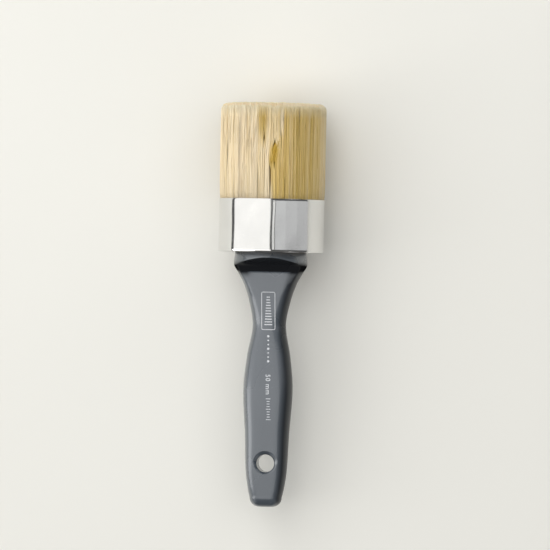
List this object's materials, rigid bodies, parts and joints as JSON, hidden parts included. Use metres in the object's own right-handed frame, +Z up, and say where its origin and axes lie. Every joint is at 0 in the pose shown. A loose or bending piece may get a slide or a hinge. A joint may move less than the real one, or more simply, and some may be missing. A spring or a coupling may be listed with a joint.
{
  "type": "round stencil brush",
  "caption": "Round stencil and wax brush with a stiff flat-cut natural bristle tuft, a plain metal ferrule and a contoured lacquered handle with a hanging hole.",
  "frame": {"origin": "on the surface that the brush lies on, under the middle of its length, below its axis", "axes": "+Y along the brush from the butt of the handle to the trimmed tip of the tuft, +Z up through the handle's front flat, +X to the right of someone who looks at that flat with the tuft pointing away"},
  "size_m": [0.0508, 0.194, 0.0508],
  "materials": {
    "charcoal_lacquer": "gloss",
    "nickel_plate": "polished",
    "bare_wood": "matte",
    "amber_epoxy": "gloss",
    "brad_steel": "satin",
    "hog_bristle": "matte"
  },
  "bodies": {
    "brush_body": {"handle": "charcoal_lacquer", "ferrule": "nickel_plate", "base_plug": "bare_wood", "epoxy_setting": "amber_epoxy", "bristle_roots": "hog_bristle", "bristle_core": "hog_bristle", "ferrule_brad_1": "brad_steel", "ferrule_brad_2": "brad_steel"},
    "inner_lock_01": {"inner_lock_01": "hog_bristle"},
    "inner_lock_02": {"inner_lock_02": "hog_bristle"},
    "inner_lock_03": {"inner_lock_03": "hog_bristle"},
    "inner_lock_04": {"inner_lock_04": "hog_bristle"},
    "inner_lock_05": {"inner_lock_05": "hog_bristle"},
    "inner_lock_06": {"inner_lock_06": "hog_bristle"},
    "outer_lock_01": {"outer_lock_01": "hog_bristle"},
    "outer_lock_02": {"outer_lock_02": "hog_bristle"},
    "outer_lock_03": {"outer_lock_03": "hog_bristle"},
    "outer_lock_04": {"outer_lock_04": "hog_bristle"},
    "outer_lock_05": {"outer_lock_05": "hog_bristle"},
    "outer_lock_06": {"outer_lock_06": "hog_bristle"},
    "outer_lock_07": {"outer_lock_07": "hog_bristle"},
    "outer_lock_08": {"outer_lock_08": "hog_bristle"},
    "outer_lock_09": {"outer_lock_09": "hog_bristle"},
    "outer_lock_10": {"outer_lock_10": "hog_bristle"},
    "outer_lock_11": {"outer_lock_11": "hog_bristle"},
    "outer_lock_12": {"outer_lock_12": "hog_bristle"}
  },
  "joints": [
    {"name": "inner_lock_01_bend", "type": "hinge", "parent": "brush_body", "child": "inner_lock_01", "pos_m": [0.01438, 0.0513, 0.0337], "axis": [0.5, 0, -0.866], "range_deg": [0, 5.4]},
    {"name": "inner_lock_02_bend", "type": "hinge", "parent": "brush_body", "child": "inner_lock_02", "pos_m": [0, 0.0513, 0.042], "axis": [1, 0, 0], "range_deg": [0, 5.4]},
    {"name": "inner_lock_03_bend", "type": "hinge", "parent": "brush_body", "child": "inner_lock_03", "pos_m": [-0.01438, 0.0513, 0.0337], "axis": [0.5, 0, 0.866], "range_deg": [0, 5.4]},
    {"name": "inner_lock_04_bend", "type": "hinge", "parent": "brush_body", "child": "inner_lock_04", "pos_m": [-0.01438, 0.0513, 0.0171], "axis": [-0.5, 0, 0.866], "range_deg": [0, 5.4]},
    {"name": "inner_lock_05_bend", "type": "hinge", "parent": "brush_body", "child": "inner_lock_05", "pos_m": [0, 0.0513, 0.0088], "axis": [-1, 0, 0], "range_deg": [0, 5.4]},
    {"name": "inner_lock_06_bend", "type": "hinge", "parent": "brush_body", "child": "inner_lock_06", "pos_m": [0.01438, 0.0513, 0.0171], "axis": [-0.5, 0, -0.866], "range_deg": [0, 5.4]},
    {"name": "outer_lock_01_bend", "type": "hinge", "parent": "brush_body", "child": "outer_lock_01", "pos_m": [0.02405, 0.0513, 0.03184], "axis": [0.2588, 0, -0.9659], "range_deg": [0, 12], "stiffness_Nm_per_rad": 0.3},
    {"name": "outer_lock_02_bend", "type": "hinge", "parent": "brush_body", "child": "outer_lock_02", "pos_m": [0.01761, 0.0513, 0.04301], "axis": [0.7071, 0, -0.7071], "range_deg": [0, 12]},
    {"name": "outer_lock_03_bend", "type": "hinge", "parent": "brush_body", "child": "outer_lock_03", "pos_m": [0.00645, 0.0513, 0.04945], "axis": [0.9659, 0, -0.2588], "range_deg": [0, 12]},
    {"name": "outer_lock_04_bend", "type": "hinge", "parent": "brush_body", "child": "outer_lock_04", "pos_m": [-0.00645, 0.0513, 0.04945], "axis": [0.9659, 0, 0.2588], "range_deg": [0, 12]},
    {"name": "outer_lock_05_bend", "type": "hinge", "parent": "brush_body", "child": "outer_lock_05", "pos_m": [-0.01761, 0.0513, 0.04301], "axis": [0.7071, 0, 0.7071], "range_deg": [0, 12]},
    {"name": "outer_lock_06_bend", "type": "hinge", "parent": "brush_body", "child": "outer_lock_06", "pos_m": [-0.02405, 0.0513, 0.03184], "axis": [0.2588, 0, 0.9659], "range_deg": [0, 12]},
    {"name": "outer_lock_07_bend", "type": "hinge", "parent": "brush_body", "child": "outer_lock_07", "pos_m": [-0.02405, 0.0513, 0.01895], "axis": [-0.2588, 0, 0.9659], "range_deg": [0, 12]},
    {"name": "outer_lock_08_bend", "type": "hinge", "parent": "brush_body", "child": "outer_lock_08", "pos_m": [-0.01761, 0.0513, 0.00779], "axis": [-0.7071, 0, 0.7071], "range_deg": [0, 12]},
    {"name": "outer_lock_09_bend", "type": "hinge", "parent": "brush_body", "child": "outer_lock_09", "pos_m": [-0.00645, 0.0513, 0.00135], "axis": [-0.9659, 0, 0.2588], "range_deg": [0, 12]},
    {"name": "outer_lock_10_bend", "type": "hinge", "parent": "brush_body", "child": "outer_lock_10", "pos_m": [0.00645, 0.0513, 0.00135], "axis": [-0.9659, 0, -0.2588], "range_deg": [0, 12]},
    {"name": "outer_lock_11_bend", "type": "hinge", "parent": "brush_body", "child": "outer_lock_11", "pos_m": [0.01761, 0.0513, 0.00779], "axis": [-0.7071, 0, -0.7071], "range_deg": [0, 12]},
    {"name": "outer_lock_12_bend", "type": "hinge", "parent": "brush_body", "child": "outer_lock_12", "pos_m": [0.02405, 0.0513, 0.01895], "axis": [-0.2588, 0, -0.9659], "range_deg": [0, 12]}
  ],
  "couplings": [
    {"joint": "inner_lock_01_bend", "follows": "outer_lock_01_bend", "ratio": 0.45},
    {"joint": "inner_lock_02_bend", "follows": "outer_lock_01_bend", "ratio": 0.45},
    {"joint": "inner_lock_03_bend", "follows": "outer_lock_01_bend", "ratio": 0.45},
    {"joint": "inner_lock_04_bend", "follows": "outer_lock_01_bend", "ratio": 0.45},
    {"joint": "inner_lock_05_bend", "follows": "outer_lock_01_bend", "ratio": 0.45},
    {"joint": "inner_lock_06_bend", "follows": "outer_lock_01_bend", "ratio": 0.45},
    {"joint": "outer_lock_02_bend", "follows": "outer_lock_01_bend", "ratio": 1},
    {"joint": "outer_lock_03_bend", "follows": "outer_lock_01_bend", "ratio": 1},
    {"joint": "outer_lock_04_bend", "follows": "outer_lock_01_bend", "ratio": 1},
    {"joint": "outer_lock_05_bend", "follows": "outer_lock_01_bend", "ratio": 1},
    {"joint": "outer_lock_06_bend", "follows": "outer_lock_01_bend", "ratio": 1},
    {"joint": "outer_lock_07_bend", "follows": "outer_lock_01_bend", "ratio": 1},
    {"joint": "outer_lock_08_bend", "follows": "outer_lock_01_bend", "ratio": 1},
    {"joint": "outer_lock_09_bend", "follows": "outer_lock_01_bend", "ratio": 1},
    {"joint": "outer_lock_10_bend", "follows": "outer_lock_01_bend", "ratio": 1},
    {"joint": "outer_lock_11_bend", "follows": "outer_lock_01_bend", "ratio": 1},
    {"joint": "outer_lock_12_bend", "follows": "outer_lock_01_bend", "ratio": 1}
  ]
}
